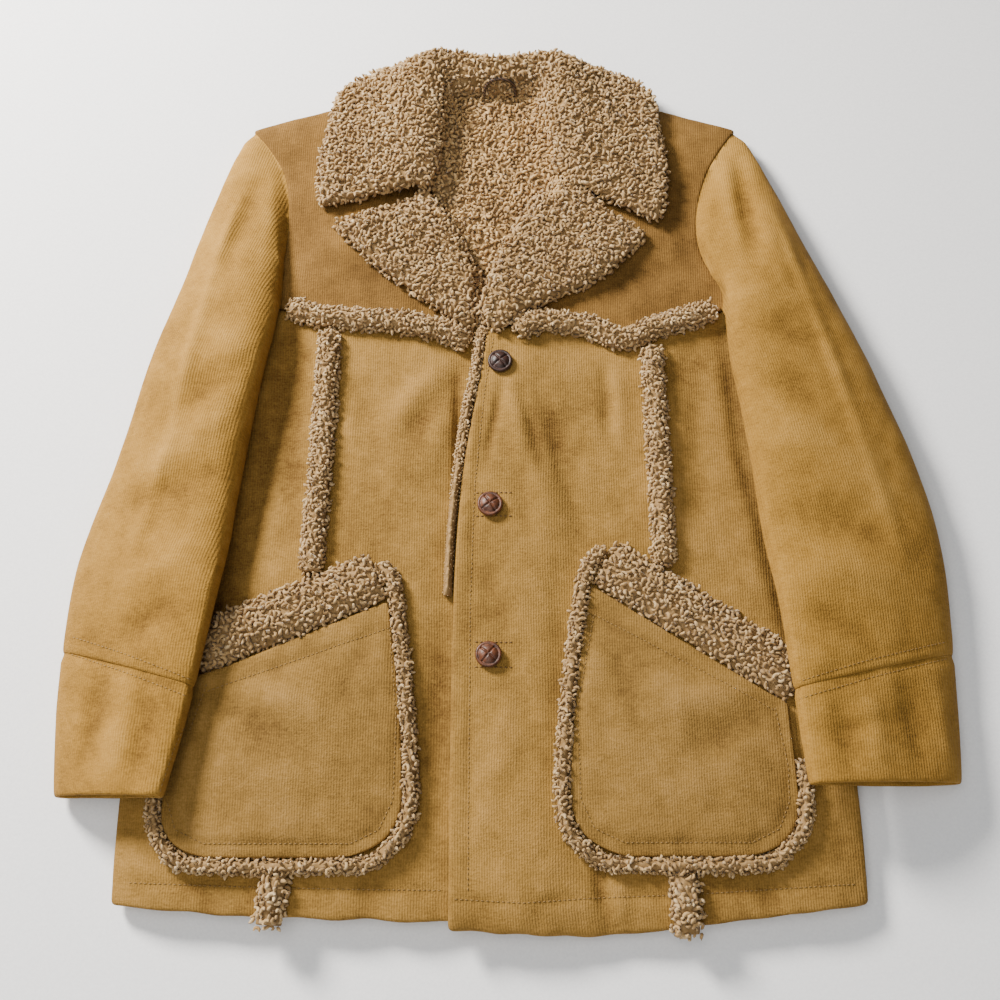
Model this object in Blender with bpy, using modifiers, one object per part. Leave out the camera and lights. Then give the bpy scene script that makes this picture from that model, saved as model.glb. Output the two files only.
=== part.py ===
"""A man's rancher jacket laid flat on its back, buttoned, with the sleeves along its sides.

Tan pin-wale corduroy, lined and trimmed with curly pile. Metres, +Z up, the hem towards -Y.
Left and right are the wearer's: the left front, at +X, laps over the right one.
Every piece is a wall between two surfaces, an outer and an inner one, over a grid of columns and rows.
"""

import bisect
import math
from collections import namedtuple

import bmesh
import bpy
from mathutils import Vector

# Driving sizes of the cloth: a lined wall is corduroy with its pile, pressed by its own weight.
FRONT_WALL = 0.010
SLEEVE_WALL = 0.007
PILE_WALL = 0.012
SEAM_GAP = 0.0003
LAYER_GAP = 0.0008
LAP_GAP = 0.0016
RIGHT_LAPEL_GAP = 0.0012
SLEEVE_GAP = 0.0028

# Driving sizes of the lay: height of the chest above the floor, and how the edges roll down.
CHEST_HEIGHT = 0.022
SIDE_ROLL_REACH = 0.045
SIDE_ROLL_DROP = 0.007
SHOULDER_ROLL_REACH = 0.030
HEM_ROLL_REACH = 0.018
HEM_ROLL_SHARE = 0.6

SHOULDER_X, SHOULDER_Y = 0.250, 0.351
NECK_X, NECK_Y = 0.085, 0.404
NECK_DIP = 0.012
FRONT_HEM_Y = -0.429
BACK_HEM_Y = -0.405
BACK_HEM_RISE = 0.010
UNDERLAP_X = 0.022
UNDERLAP_THINNING = 0.004
OVERLAP_RAMP = 0.070

# The body's side and armhole, a row for each level from hem to shoulder.
BodyEdge = namedtuple("BodyEdge", "y right left")
BODY_EDGE = [
    BodyEdge(-0.430, 0.312, 0.308),
    BodyEdge(-0.330, 0.315, 0.309),
    BodyEdge(-0.150, 0.308, 0.303),
    BodyEdge(0.000, 0.300, 0.296),
    BodyEdge(0.095, 0.290, 0.287),
    BodyEdge(0.135, 0.252, 0.250),
    BodyEdge(0.170, 0.222, 0.218),
    BodyEdge(0.205, 0.208, 0.203),
    BodyEdge(0.240, 0.206, 0.202),
    BodyEdge(0.271, 0.207, 0.208),
    BodyEdge(0.301, 0.215, 0.218),
    BodyEdge(SHOULDER_Y, SHOULDER_X, SHOULDER_X),
]

# The fronts' inner edges from the lap at the chest up the roll of the lapels to the neck.
InnerEdge = namedtuple("InnerEdge", "y right left")
INNER_EDGE = [
    InnerEdge(0.095, UNDERLAP_X, -0.014),
    InnerEdge(0.130, 0.012, -0.012),
    InnerEdge(0.168, -0.006, -0.006),
    InnerEdge(0.199, -0.023, 0.013),
    InnerEdge(0.246, -0.050, 0.034),
    InnerEdge(0.296, -0.068, 0.066),
    InnerEdge(0.357, -0.066, 0.070),
    InnerEdge(0.405, -0.080, 0.080),
]

# The lapped front's free edge, from the hem to the lapel.
FrontEdge = namedtuple("FrontEdge", "y x")
FRONT_EDGE = [
    FrontEdge(-0.430, -0.036),
    FrontEdge(-0.155, -0.035),
    FrontEdge(-0.042, -0.029),
    FrontEdge(0.020, -0.020),
    FrontEdge(0.060, -0.013),
    FrontEdge(0.090, -0.0075),
    FrontEdge(0.125, -0.006),
]

# The seams under the pile trims: the long one between side and centre front, by level.
LongSeam = namedtuple("LongSeam", "y right left")
LONG_SEAM = [
    LongSeam(-0.430, -0.181, 0.157),
    LongSeam(-0.130, -0.162, 0.152),
    LongSeam(0.035, -0.157, 0.151),
    LongSeam(0.150, -0.157, 0.148),
]

# The yoke seam and the hem of each front, by distance across.
YokeLine = namedtuple("YokeLine", "x y")
RIGHT_YOKE = [
    YokeLine(-0.300, 0.152),
    YokeLine(-0.201, 0.139),
    YokeLine(-0.150, 0.123),
    YokeLine(-0.109, 0.124),
    YokeLine(-0.040, 0.111),
    YokeLine(0.030, 0.105),
]
LEFT_YOKE = [
    YokeLine(-0.040, 0.116),
    YokeLine(0.063, 0.120),
    YokeLine(0.102, 0.113),
    YokeLine(0.122, 0.101),
    YokeLine(0.147, 0.112),
    YokeLine(0.222, 0.138),
    YokeLine(0.300, 0.158),
]
HemLine = namedtuple("HemLine", "x y")
RIGHT_HEM = [HemLine(-0.320, -0.408), HemLine(-0.205, -0.417), HemLine(0.030, -0.423)]
LEFT_HEM = [HemLine(-0.040, -0.428), HemLine(0.080, -0.432), HemLine(0.320, -0.407)]

# Broad swells of the padded fronts, and their largest folds.
Swell = namedtuple("Swell", "x y reach_x reach_y height")
SWELLS = [
    Swell(-0.095, -0.030, 0.085, 0.150, 0.006),
    Swell(0.095, -0.030, 0.085, 0.150, 0.005),
    Swell(-0.175, -0.280, 0.110, 0.100, 0.004),
    Swell(0.165, -0.280, 0.110, 0.100, 0.004),
    Swell(-0.150, 0.220, 0.080, 0.080, 0.003),
    Swell(0.140, 0.220, 0.080, 0.080, 0.003),
]
Fold = namedtuple("Fold", "x0 y0 x1 y1 width height")
FOLDS = [
    Fold(-0.045, 0.065, -0.120, 0.020, 0.020, -0.0035),
    Fold(-0.050, 0.020, -0.110, -0.015, 0.022, 0.0030),
    Fold(0.012, 0.040, 0.058, -0.110, 0.022, 0.0040),
    Fold(0.045, 0.050, 0.085, -0.080, 0.020, -0.0025),
    Fold(0.105, 0.085, 0.112, -0.060, 0.018, -0.0020),
    Fold(-0.235, 0.060, -0.215, -0.120, 0.024, -0.0035),
    Fold(0.215, 0.100, 0.205, -0.060, 0.022, -0.0030),
    Fold(-0.010, -0.300, 0.030, -0.390, 0.026, 0.0030),
]

# Pockets: sides by level, the slanted mouth, the bottom and its corner radius.
PocketSize = namedtuple(
    "PocketSize", "outer_low outer_high inner_low inner_high low_y high_y mouth_out mouth_in"
)
RIGHT_POCKET = PocketSize(-0.282, -0.250, -0.074, -0.092, -0.372, -0.160, -0.222, -0.156)
LEFT_POCKET = PocketSize(0.256, 0.248, 0.063, 0.086, -0.371, -0.145, -0.245, -0.141)
POCKET_CORNER = 0.046
POCKET_WALL = 0.006
POCKET_PUFF = 0.004
POCKET_CUFF_WIDTH = 0.044
POCKET_CUFF_HEIGHT = 0.010
POCKET_CUFF_CLEAR = 0.003
POCKET_EDGE_WIDTH = 0.010
POCKET_EDGE_CLEAR = 0.0015
POCKET_RISE = 0.0125
TRIM_EDGE = 0.003

# Sleeves, a row for each section: both edges of the flattened tube, its fold and its crown.
SleeveRing = namedtuple("SleeveRing", "outer_x outer_y inner_x inner_y fold crown")
RIGHT_SLEEVE = [
    SleeveRing(-0.251, 0.3515, -0.205, 0.150, 0.005, 0.010),
    SleeveRing(-0.272, 0.298, -0.206, 0.118, 0.008, 0.024),
    SleeveRing(-0.293, 0.218, -0.212, 0.080, 0.010, 0.031),
    SleeveRing(-0.313, 0.132, -0.218, 0.040, 0.010, 0.032),
    SleeveRing(-0.332, 0.050, -0.224, -0.010, 0.010, 0.032),
    SleeveRing(-0.355, -0.040, -0.231, -0.075, 0.010, 0.030),
    SleeveRing(-0.376, -0.115, -0.237, -0.145, 0.010, 0.026),
    SleeveRing(-0.380, -0.198, -0.250, -0.236, 0.009, 0.022),
    SleeveRing(-0.378, -0.260, -0.258, -0.281, 0.009, 0.022),
    SleeveRing(-0.371, -0.322, -0.267, -0.326, 0.010, 0.024),
]
LEFT_SLEEVE = [
    SleeveRing(0.251, 0.3515, 0.221, 0.150, 0.005, 0.010),
    SleeveRing(0.278, 0.297, 0.221, 0.110, 0.008, 0.024),
    SleeveRing(0.309, 0.211, 0.222, 0.072, 0.010, 0.031),
    SleeveRing(0.340, 0.136, 0.228, 0.030, 0.010, 0.032),
    SleeveRing(0.369, 0.056, 0.234, -0.025, 0.010, 0.032),
    SleeveRing(0.395, -0.030, 0.238, -0.085, 0.010, 0.030),
    SleeveRing(0.408, -0.110, 0.245, -0.150, 0.010, 0.026),
    SleeveRing(0.406, -0.200, 0.252, -0.238, 0.009, 0.022),
    SleeveRing(0.403, -0.260, 0.255, -0.279, 0.009, 0.022),
    SleeveRing(0.398, -0.311, 0.258, -0.316, 0.010, 0.024),
]
CUFF_RING = 7
ARMHOLE_GAP = 0.0012
BACK_INSET = 0.0026
ARMHOLE_SEAM_LOW_Y, ARMHOLE_SEAM_HIGH_Y = 0.235, 0.300
EDGE_SHELF = 0.021
EDGE_RAMP = 0.030

# Collar, a row for each section from the wearer's right point round the neck to the left one:
# the neck seam, the roll that stands highest, and the free edge.
CollarSection = namedtuple("CollarSection", "neck roll edge")
COLLAR = [
    CollarSection((-0.066, 0.270, 0.0305), (-0.080, 0.273, 0.0350), (-0.172, 0.248, 0.0308)),
    CollarSection((-0.059, 0.296, 0.0305), (-0.070, 0.296, 0.0400), (-0.175, 0.292, 0.0312)),
    CollarSection((-0.056, 0.345, 0.0300), (-0.067, 0.347, 0.0420), (-0.167, 0.342, 0.0292)),
    CollarSection((-0.052, 0.378, 0.0240), (-0.066, 0.392, 0.0440), (-0.159, 0.393, 0.0215)),
    CollarSection((-0.036, 0.390, 0.0170), (-0.058, 0.423, 0.0460), (-0.105, 0.426, 0.0090)),
    CollarSection((0.000, 0.391, 0.0165), (0.000, 0.410, 0.0450), (0.000, 0.425, 0.0080)),
    CollarSection((0.036, 0.390, 0.0170), (0.058, 0.421, 0.0460), (0.104, 0.426, 0.0090)),
    CollarSection((0.052, 0.378, 0.0240), (0.066, 0.391, 0.0440), (0.159, 0.393, 0.0215)),
    CollarSection((0.058, 0.345, 0.0300), (0.069, 0.345, 0.0420), (0.166, 0.343, 0.0300)),
    CollarSection((0.064, 0.300, 0.0305), (0.076, 0.302, 0.0400), (0.172, 0.284, 0.0312)),
    CollarSection((0.078, 0.270, 0.0305), (0.089, 0.270, 0.0350), (0.163, 0.231, 0.0308)),
]
COLLAR_WALL = 0.011
COLLAR_ROLL_SHARE = 0.22

# Lapels: points along the roll and along the free edge, from the top button to the notch.
RIGHT_LAPEL_ROLL = [(-0.018, 0.120), (-0.020, 0.178), (-0.042, 0.234), (-0.065, 0.266)]
RIGHT_LAPEL_EDGE = [(-0.027, 0.116), (-0.066, 0.146), (-0.118, 0.186), (-0.157, 0.227)]
LEFT_LAPEL_ROLL = [(-0.0125, 0.128), (0.006, 0.192), (0.032, 0.246), (0.060, 0.277)]
LEFT_LAPEL_EDGE = [(0.001, 0.107), (0.045, 0.140), (0.105, 0.170), (0.150, 0.216)]

LINING_LOW_Y, LINING_HIGH_Y = 0.186, 0.381
LINING_PILE = 0.0065
LINING_EDGE = 0.003
LINING_INSET = 0.0025

BUTTON_RADIUS, BUTTON_HEIGHT = 0.0115, 0.0075
BUTTONS = {
    "button_top": (0.006, 0.076),
    "button_middle": (-0.003, -0.067),
    "button_bottom": (-0.004, -0.204),
}

LOOP_RADIUS = 0.0016
LOOP_STEPS = 14

# The empty that carries the pieces, so that the origin lies under the middle of the jacket.
CENTRE = Vector((-0.0140, 0.0000, 0.0))

COLOURS = {
    "corduroy": ((0.50, 0.31, 0.10), 0.9),
    "pile": ((0.55, 0.40, 0.23), 1.0),
    "button": ((0.10, 0.035, 0.018), 0.4),
    "cord": ((0.09, 0.045, 0.02), 0.7),
}


def clamp(value):
    return min(max(value, 0.0), 1.0)


def smooth(low, high, value):
    """0 below low, 1 above high, with a soft step between."""
    t = clamp((value - low) / (high - low))
    return t * t * (3 - 2 * t)


def mix(a, b, t):
    return a + (b - a) * t


def hermite(keys, values, key):
    """The value at key on a smooth curve through the values at the keys."""
    last = len(keys) - 1
    i = min(max(bisect.bisect_right(keys, key) - 1, 0), last - 1)
    span = keys[i + 1] - keys[i]
    t = clamp((key - keys[i]) / span)

    def slope(k):
        before, after = max(k - 1, 0), min(k + 1, last)
        return (values[after] - values[before]) * (span / (keys[after] - keys[before]))

    rise = values[i + 1] - values[i]
    a = slope(i)
    b = slope(i + 1)
    return values[i] + t * (a + t * (3 * rise - 2 * a - b + t * (a + b - 2 * rise)))


def read(rows, column, key):
    """A table's column at a level given by its first column."""
    return hermite([row[0] for row in rows], [getattr(row, column) for row in rows], key)


def along(points, t):
    """The point at share t of a smooth curve through the points."""
    keys = [i / (len(points) - 1) for i in range(len(points))]
    return Vector([hermite(keys, [p[axis] for p in points], t) for axis in range(len(points[0]))])


def body_edge(x, y):
    """Half width of the body at this level, on the side that x is on."""
    return read(BODY_EDGE, "right" if x < 0 else "left", y)


def shoulder_y(x):
    """The shoulder seam, and the back neck between its ends."""
    if abs(x) < NECK_X:
        return NECK_Y - NECK_DIP * (1 - (x / NECK_X) ** 2)
    return mix(SHOULDER_Y, NECK_Y, clamp((SHOULDER_X - abs(x)) / (SHOULDER_X - NECK_X)))


def roll_drop(inside, reach):
    """How far a surface has rolled down, this far inside its edge."""
    t = clamp(1 - inside / reach)
    return SIDE_ROLL_DROP * (1 - math.sqrt(1 - t * t))


def fold_height(fold, x, y, spread=1.0):
    start, end, point = Vector((fold.x0, fold.y0)), Vector((fold.x1, fold.y1)), Vector((x, y))
    line = end - start
    t = clamp((point - start).dot(line) / line.length_squared)
    away = (point - start - line * t).length / (fold.width * spread)
    fade = math.sin(math.pi * mix(0.12, 0.88, t))
    return fold.height * fade * math.exp(-away * away)


def lay_height(x, y, folds):
    """Height of the fronts' outer surface, with the given height of folds."""
    swell = sum(
        s.height * math.exp(-(((x - s.x) / s.reach_x) ** 2) - ((y - s.y) / s.reach_y) ** 2) for s in SWELLS
    )
    side = roll_drop(max(body_edge(x, y) - abs(x), 0), SIDE_ROLL_REACH) * (1 - smooth(0.08, 0.16, y))
    shoulder = roll_drop(max(shoulder_y(x) - y, 0), SHOULDER_ROLL_REACH)
    hem = roll_drop(max(y - FRONT_HEM_Y, 0), HEM_ROLL_REACH) * HEM_ROLL_SHARE
    inside = smooth(0.0, SIDE_ROLL_REACH, body_edge(x, y) - abs(x))
    return CHEST_HEIGHT + swell * inside + folds * inside - max(side, shoulder, hem)


def front_top(x, y):
    return lay_height(x, y, sum(fold_height(fold, x, y) for fold in FOLDS))


def front_under(x, y):
    return front_top(x, y) - FRONT_WALL


def back_top(x, y):
    """The back's pile fills the space below the fronts, and gives way below their creases."""
    creases = sum(fold_height(fold, x, y, 1.8) for fold in FOLDS if fold.height < 0)
    return lay_height(x, y, creases) - FRONT_WALL - LAYER_GAP


def right_top(x, y):
    """The right front thins towards its hidden edge, under the lap."""
    edge = read(INNER_EDGE, "right", max(y, INNER_EDGE[0].y))
    return front_top(x, y) - UNDERLAP_THINNING * smooth(-0.075, -0.015, x - edge + UNDERLAP_X)


def left_under(x, y):
    """The left front lies on the right one along the lap, and on the back beyond it."""
    edge = read(INNER_EDGE, "right", max(y, INNER_EDGE[0].y))
    lapped = 1 - smooth(0.004, OVERLAP_RAMP, x - edge)
    return mix(front_under(x, y), right_top(x, y) + LAP_GAP, lapped)


def left_top(x, y):
    return left_under(x, y) + FRONT_WALL


def chest_top(x, y):
    """The outer surface that shows, whichever front it is."""
    return left_top(x, y) if x > read(FRONT_EDGE, "x", y) else right_top(x, y)


def new_object(name, mesh_or_curve, finish):
    """An object in the jacket's collection, on its empty, with its own material."""
    colour, roughness = COLOURS[finish]
    material = bpy.data.materials.new(name)
    material.use_nodes = True
    shader = material.node_tree.nodes["Principled BSDF"]
    shader.inputs["Base Color"].default_value = (*colour, 1.0)
    shader.inputs["Roughness"].default_value = roughness
    mesh_or_curve.materials.append(material)
    made = bpy.data.objects.new(name, mesh_or_curve)
    jacket.objects.link(made)
    made.parent = carrier
    return made


def wall(name, outer, inner, columns, rows, finish="corduroy", tube=False):
    """A closed wall: a grid laid on the outer surface, extruded to the inner one.

    outer and inner give a point from the shares across and along. A tube's first and last columns meet.
    """
    bm = bmesh.new()
    bmesh.ops.create_grid(bm, x_segments=columns, y_segments=rows, size=0.5)
    if tube:
        first = {round(v.co.y * rows): v for v in bm.verts if v.co.x < -0.499}
        last = {v: first[round(v.co.y * rows)] for v in bm.verts if v.co.x > 0.499}
        bmesh.ops.weld_verts(bm, targetmap=last)
    outside = set(bm.verts)
    bmesh.ops.extrude_face_region(bm, geom=bm.faces[:], use_keep_orig=True)
    for v in bm.verts:
        across, length = v.co.x + 0.5, v.co.y + 0.5
        v.co = outer(across, length) if v in outside else inner(across, length)
    bmesh.ops.recalc_face_normals(bm, faces=bm.faces[:])
    if bm.calc_volume(signed=True) < 0:
        bmesh.ops.reverse_faces(bm, faces=bm.faces[:])
    mesh = bpy.data.meshes.new(name)
    bm.to_mesh(mesh)
    bm.free()
    mesh.shade_smooth()
    mesh.set_sharp_from_angle(angle=math.radians(50))
    return new_object(name, mesh, finish)


def patch(low_side, high_side, low_end, high_end):
    """A map from shares to a place in plan, between two sides by level and two ends by distance across."""

    def place(across, length):
        x = y = 0.0
        for _ in range(12):
            y = mix(low_end(x), high_end(x), length)
            x = mix(low_side(y), high_side(y), across)
        return x, y

    return place


def panel(name, place, top, under, columns, rows, finish="corduroy"):
    """A wall that lies flat: the same plan for both surfaces, each with its own height."""

    def outer(across, length):
        x, y = place(across, length)
        return Vector((x, y, top(x, y)))

    def inner(across, length):
        x, y = place(across, length)
        return Vector((x, y, under(x, y)))

    return wall(name, outer, inner, columns, rows, finish)


def strip(name, path, width, height, rows, columns=5, rest=chest_top, fade=0.06):
    """A strip of pile sewn along a path on the fronts, half round across and rounded off at its ends."""

    def place(across, length):
        middle = along(path, length)
        heading = (along(path, min(length + 0.01, 1)) - along(path, max(length - 0.01, 0))).normalized()
        side = Vector((-heading.y, heading.x))
        return middle + side * width * (across - 0.5)

    def outer(across, length):
        p = place(across, length)
        crown = math.sqrt(max(1 - (2 * across - 1) ** 2, 0))
        crown *= math.sqrt(smooth(-fade, fade, min(length, 1 - length)))
        return Vector((p.x, p.y, rest(p.x, p.y) + LAYER_GAP + TRIM_EDGE + (height - TRIM_EDGE) * crown))

    def inner(across, length):
        p = place(across, length)
        return Vector((p.x, p.y, rest(p.x, p.y) + LAYER_GAP))

    return wall(name, outer, inner, columns, rows, "pile")


def make_back():
    """The back lies on the floor, so its under side is flat."""
    place = patch(
        lambda y: BACK_INSET * smooth(0.10, 0.16, y) - body_edge(-1, y),
        lambda y: body_edge(1, y) - BACK_INSET * smooth(0.10, 0.16, y),
        lambda x: BACK_HEM_Y + BACK_HEM_RISE * (x / SHOULDER_X) ** 2,
        shoulder_y,
    )
    panel("back", place, back_top, lambda x, y: 0.0, 18, 18)


def make_neck_lining():
    """The pile that lines the back, where it shows between the lapels."""

    def right(y):
        return read(INNER_EDGE, "right", y) + LINING_INSET

    def left(y):
        return read(INNER_EDGE, "left", y) - LINING_INSET

    def top(x, y):
        inside = min(x - right(y), left(y) - x, LINING_HIGH_Y - y, y - LINING_LOW_Y)
        return back_top(x, y) + SEAM_GAP + mix(LINING_EDGE, LINING_PILE, smooth(0, 0.012, inside))

    place = patch(right, left, lambda x: LINING_LOW_Y, lambda x: LINING_HIGH_Y)
    panel("neck_lining", place, top, lambda x, y: back_top(x, y) + SEAM_GAP, 6, 9, "pile")


def make_fronts():
    """Each front is a yoke, a side panel and a centre panel. The left one laps over the right one."""
    rows = 16

    def right_yoke(x):
        return read(RIGHT_YOKE, "y", x)

    def left_yoke(x):
        return read(LEFT_YOKE, "y", x)

    def right_seam(y):
        return read(LONG_SEAM, "right", y)

    def left_seam(y):
        return read(LONG_SEAM, "left", y)

    def right_hem(x):
        return read(RIGHT_HEM, "y", x)

    def left_hem(x):
        return read(LEFT_HEM, "y", x)

    def right_side(y):
        return -body_edge(-1, y)

    def left_side(y):
        return body_edge(1, y)

    def under_yoke(line):
        return lambda x: line(x) - LAP_GAP

    def shoulder(x):
        return shoulder_y(x) - SEAM_GAP

    def denser_at_hem(place):
        return lambda across, length: place(across, length ** 1.25)

    place = patch(right_side, lambda y: right_seam(y) - SEAM_GAP, right_hem, under_yoke(right_yoke))
    panel("side_front_right", denser_at_hem(place), right_top, front_under, 8, rows)
    place = patch(right_seam, lambda y: UNDERLAP_X, right_hem, under_yoke(right_yoke))
    panel("centre_front_right", denser_at_hem(place), right_top, front_under, 10, rows)
    place = patch(lambda y: left_seam(y) + SEAM_GAP, left_side, left_hem, under_yoke(left_yoke))
    panel("side_front_left", denser_at_hem(place), left_top, left_under, 8, rows)
    place = patch(lambda y: read(FRONT_EDGE, "x", y), left_seam, left_hem, under_yoke(left_yoke))
    panel("centre_front_left", denser_at_hem(place), left_top, left_under, 10, rows)
    place = patch(right_side, lambda y: read(INNER_EDGE, "right", y), right_yoke, shoulder)
    panel("yoke_right", place, right_top, front_under, 10, 10)
    place = patch(lambda y: read(INNER_EDGE, "left", y), left_side, left_yoke, shoulder)
    panel("yoke_left", place, left_top, left_under, 10, 10)


def pocket_window(x, y):
    """1 over a pocket and a margin round it, 0 well outside."""
    across = 1 - smooth(0.290, 0.312, abs(x))
    return across * (1 - smooth(-0.155, -0.115, y))


def sleeve_rest(x, y):
    """Height of what a sleeve lies on: the front and the pocket, and the floor beside the body."""
    slope = (body_edge(x, y + 0.005) - body_edge(x, y - 0.005)) / 0.010
    outside = (abs(x) - body_edge(x, y)) / math.hypot(1, slope)
    if outside <= 0:
        return chest_top(x, y) + POCKET_RISE * pocket_window(x, y) + SLEEVE_GAP
    edge_x = math.copysign(body_edge(x, y), x)
    shelf = chest_top(edge_x, y) + POCKET_RISE * pocket_window(edge_x, y) + SLEEVE_GAP
    beside = 1 - smooth(ARMHOLE_SEAM_LOW_Y, ARMHOLE_SEAM_HIGH_Y, y)
    return shelf * beside * (1 - smooth(EDGE_SHELF, EDGE_SHELF + EDGE_RAMP, outside))


def sleeve_place(rings, index, share):
    """Plan of one section, from its outer edge to its inner one. The first follows the armhole."""
    ring = rings[index]
    x, y = mix(ring.outer_x, ring.inner_x, share), mix(ring.outer_y, ring.inner_y, share)
    if index == 0:
        seam = min(body_edge(x, y), abs(ring.inner_x)) if y < ARMHOLE_SEAM_LOW_Y else body_edge(x, y)
        x = math.copysign(seam + ARMHOLE_GAP, x)
    return x, y


def sleeve_surface(rings, start, end, inset):
    """A map from shares round and along to a point on the tube, this far inside its outer surface."""
    keys = list(range(len(rings)))

    def point(around, length):
        station = mix(start, end, length)
        angle = 2 * math.pi * around
        fold = hermite(keys, [ring.fold for ring in rings], station)
        crown = hermite(keys, [ring.crown for ring in rings], station)
        width = math.hypot(rings[3].outer_x - rings[3].inner_x, rings[3].outer_y - rings[3].inner_y)
        lean = math.copysign(abs(math.cos(angle)) ** 0.85, math.cos(angle)) * (1 - 2 * inset / width)
        share = (1 + lean) / 2
        places = [sleeve_place(rings, i, share) for i in keys]
        x = hermite(keys, [p[0] for p in places], station)
        y = hermite(keys, [p[1] for p in places], station)
        ends = [[sleeve_place(rings, i, side) for i in keys] for side in (0.0, 1.0)]
        rests = []
        for end_places in ends:
            end_x = hermite(keys, [p[0] for p in end_places], station)
            end_y = hermite(keys, [p[1] for p in end_places], station)
            rests.append(sleeve_rest(end_x, end_y))
        bulge = abs(math.sin(angle)) ** 0.7
        if math.sin(angle) >= 0:
            z = mix(rests[0], rests[1], share) + fold + crown * bulge - inset * bulge
        else:
            z = mix(mix(rests[0], rests[1], share) + fold, sleeve_rest(x, y) + inset, bulge)
        return Vector((x, y, z))

    return point


def make_sleeves():
    """Each sleeve is a flattened tube from the armhole to the cuff seam, and its cuff is a second one."""
    last = len(RIGHT_SLEEVE) - 1
    seam = SEAM_GAP / 0.06
    for side, rings in (("right", RIGHT_SLEEVE), ("left", LEFT_SLEEVE)):
        for name, start, end, rows in (("sleeve", 0, CUFF_RING, 14), ("cuff", CUFF_RING + seam, last, 4)):
            outer = sleeve_surface(rings, start, end, 0.0)
            inner = sleeve_surface(rings, start, end, SLEEVE_WALL)
            wall(f"{name}_{side}", outer, inner, 18, rows, tube=True)


def make_collar():
    """The collar stands up from the neck seam, rolls over, and falls to its free edge."""

    def middle(across, length):
        neck = along([row.neck for row in COLLAR], length)
        roll = along([row.roll for row in COLLAR], length)
        edge = along([row.edge for row in COLLAR], length)
        if across < COLLAR_ROLL_SHARE:
            t = math.sin(across / COLLAR_ROLL_SHARE * math.pi / 2)
            return Vector((*neck.xy.lerp(roll.xy, across / COLLAR_ROLL_SHARE), mix(neck.z, roll.z, t)))
        t = (across - COLLAR_ROLL_SHARE) / (1 - COLLAR_ROLL_SHARE)
        return Vector((*roll.xy.lerp(edge.xy, t), mix(roll.z, edge.z, smooth(0, 1, t) ** 0.8)))

    def face(side):
        def point(across, length):
            step = 0.01
            over = middle(min(across + step, 1), length) - middle(max(across - step, 0), length)
            round_neck = middle(across, min(length + step, 1)) - middle(across, max(length - step, 0))
            return middle(across, length) + over.cross(round_neck).normalized() * side * COLLAR_WALL / 2

        return point

    wall("collar", face(-1), face(1), 8, 26, "pile")


def make_lapels():
    """Each lapel is the top of a front turned back, so its pile facing shows."""
    for side, roll, edge, rest, gap in (
        ("right", RIGHT_LAPEL_ROLL, RIGHT_LAPEL_EDGE, right_top, RIGHT_LAPEL_GAP),
        ("left", LEFT_LAPEL_ROLL, LEFT_LAPEL_EDGE, left_top, LAP_GAP),
    ):

        def place(across, length, roll=roll, edge=edge):
            return along(roll, length).lerp(along(edge, length), across)

        def outer(across, length, place=place, rest=rest, gap=gap):
            p = place(across, length)
            side_rim = smooth(-0.10, 0.16, min(across, 1 - across))
            rim = min(side_rim, smooth(-0.10, 0.12, min(length, 1 - length)))
            return Vector((p.x, p.y, rest(p.x, p.y) + gap + PILE_WALL * math.sqrt(rim)))

        def inner(across, length, place=place, rest=rest, gap=gap):
            p = place(across, length)
            return Vector((p.x, p.y, rest(p.x, p.y) + gap))

        wall(f"lapel_{side}", outer, inner, 7, 9, "pile")


def pocket_sides(pocket, y):
    """The pocket's outer and inner side at this level, drawn in round its lower corners."""
    t = clamp((y - pocket.low_y) / (pocket.high_y - pocket.low_y))
    outer = mix(pocket.outer_low, pocket.outer_high, t)
    inner = mix(pocket.inner_low, pocket.inner_high, t ** 2)
    short = clamp(1 - (y - pocket.low_y) / POCKET_CORNER)
    draw_in = POCKET_CORNER * (1 - math.sqrt(1 - min(short, 0.998) ** 2))
    sign = math.copysign(1, outer - inner)
    return outer - sign * draw_in, inner + sign * draw_in


def pocket_mouth(pocket, x):
    t = clamp((x - pocket.outer_high) / (pocket.inner_high - pocket.outer_high))
    return mix(pocket.mouth_out, pocket.mouth_in, t)


def pocket_mouth_frame(pocket):
    """The mouth's inner corner, the way along it to that corner, and the way across it to the neck."""
    corner = Vector((pocket.inner_high, pocket.mouth_in))
    slant = (corner - Vector((pocket.outer_high, pocket.mouth_out))).normalized()
    return corner, slant, Vector((-slant.y, slant.x)) * math.copysign(1, slant.x)


def pocket_mouth_length(pocket):
    return math.hypot(pocket.outer_high - pocket.inner_high, pocket.mouth_out - pocket.mouth_in)


def pocket_rim(pocket):
    """The path of the pile edge: down the inner side, round the bottom and up to the sleeve."""
    sign = math.copysign(1, pocket.outer_low - pocket.inner_low)
    away = POCKET_EDGE_WIDTH / 2 + POCKET_EDGE_CLEAR
    corner_y = pocket.low_y + POCKET_CORNER
    corner, slant, up = pocket_mouth_frame(pocket)
    path = [corner + up * 0.034 + slant * away, corner + up * 0.012 + slant * (away + 0.004)]
    middle_y, low_y = mix(pocket.mouth_in, corner_y, 0.4), mix(pocket.mouth_in, corner_y, 0.7)
    for y in (pocket.mouth_in - 0.020, middle_y, low_y):
        path.append((pocket_sides(pocket, y)[1] - sign * away, y))
    for which, out, turns in ((1, -sign, (0, 30, 60, 85)), (0, sign, (85, 60, 30, 0))):
        for turn in turns:
            lean = math.radians(turn)
            y = corner_y - POCKET_CORNER * math.sin(lean)
            x = pocket_sides(pocket, y)[which] + out * away * math.cos(lean)
            path.append((x, y - away * math.sin(lean)))
    path.append((pocket_sides(pocket, corner_y + 0.03)[0] + sign * away, corner_y + 0.03))
    return path


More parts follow.
